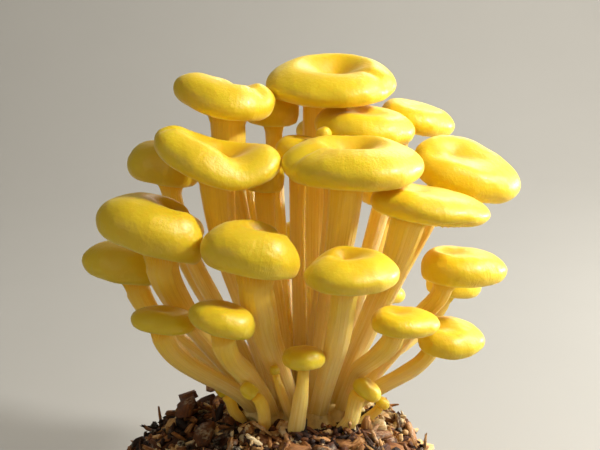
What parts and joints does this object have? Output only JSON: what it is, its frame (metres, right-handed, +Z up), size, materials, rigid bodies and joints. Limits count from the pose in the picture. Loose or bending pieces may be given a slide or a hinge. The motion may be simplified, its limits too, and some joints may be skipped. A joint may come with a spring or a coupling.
{
  "type": "golden oyster mushroom cluster",
  "caption": "Cluster of golden oyster mushrooms: dimpled yellow caps on pale curved stems that fan out of one fused base, growing on a rounded lump of wood-chip substrate.",
  "frame": {"origin": "middle of the substrate's flat underside", "axes": "+Z up, from the underside to the caps; -Y the front; +X to the right as seen from the front"},
  "size_m": [0.1342, 0.112, 0.1485],
  "materials": {
    "mushroom_flesh": "satin, slightly moist",
    "pale_butt": "matte",
    "packed_wood": "rough",
    "loose_wood": "rough"
  },
  "bodies": {
    "root": {"substrate": "packed_wood", "fused_butt": "pale_butt", "top_centre": "mushroom_flesh", "top_left": "mushroom_flesh", "top_left_small": "mushroom_flesh", "upper_right": "mushroom_flesh", "back_right": "mushroom_flesh", "right_large": "mushroom_flesh", "centre_large": "mushroom_flesh", "upper_left": "mushroom_flesh", "upper_left_back": "mushroom_flesh", "left_hidden": "mushroom_flesh", "small_centre_back": "mushroom_flesh", "right_mid": "mushroom_flesh", "left_big": "mushroom_flesh", "front_left": "mushroom_flesh", "front_right": "mushroom_flesh", "left_low_back": "mushroom_flesh", "right_low": "mushroom_flesh", "right_low_back": "mushroom_flesh", "right_small": "mushroom_flesh", "right_lowest": "mushroom_flesh", "left_low": "mushroom_flesh", "left_mid_low": "mushroom_flesh", "tiny_front": "mushroom_flesh", "bud_high": "mushroom_flesh", "club_right": "mushroom_flesh", "bud_right": "mushroom_flesh", "club_left": "mushroom_flesh", "young_left": "mushroom_flesh", "pin_front": "mushroom_flesh", "back_high": "mushroom_flesh", "back_left": "mushroom_flesh", "back_left_low": "mushroom_flesh", "back_middle": "mushroom_flesh", "back_right_mid": "mushroom_flesh", "back_low": "mushroom_flesh", "back_right_low": "mushroom_flesh", "wood_chip_01": "loose_wood", "wood_chip_02": "loose_wood", "wood_chip_03": "loose_wood", "wood_chip_04": "loose_wood", "wood_chip_05": "loose_wood", "wood_chip_06": "loose_wood", "wood_chip_07": "loose_wood", "wood_chip_08": "loose_wood", "wood_chip_09": "loose_wood", "wood_chip_10": "loose_wood", "wood_chip_11": "loose_wood", "wood_chip_12": "loose_wood"}
  },
  "joints": []
}
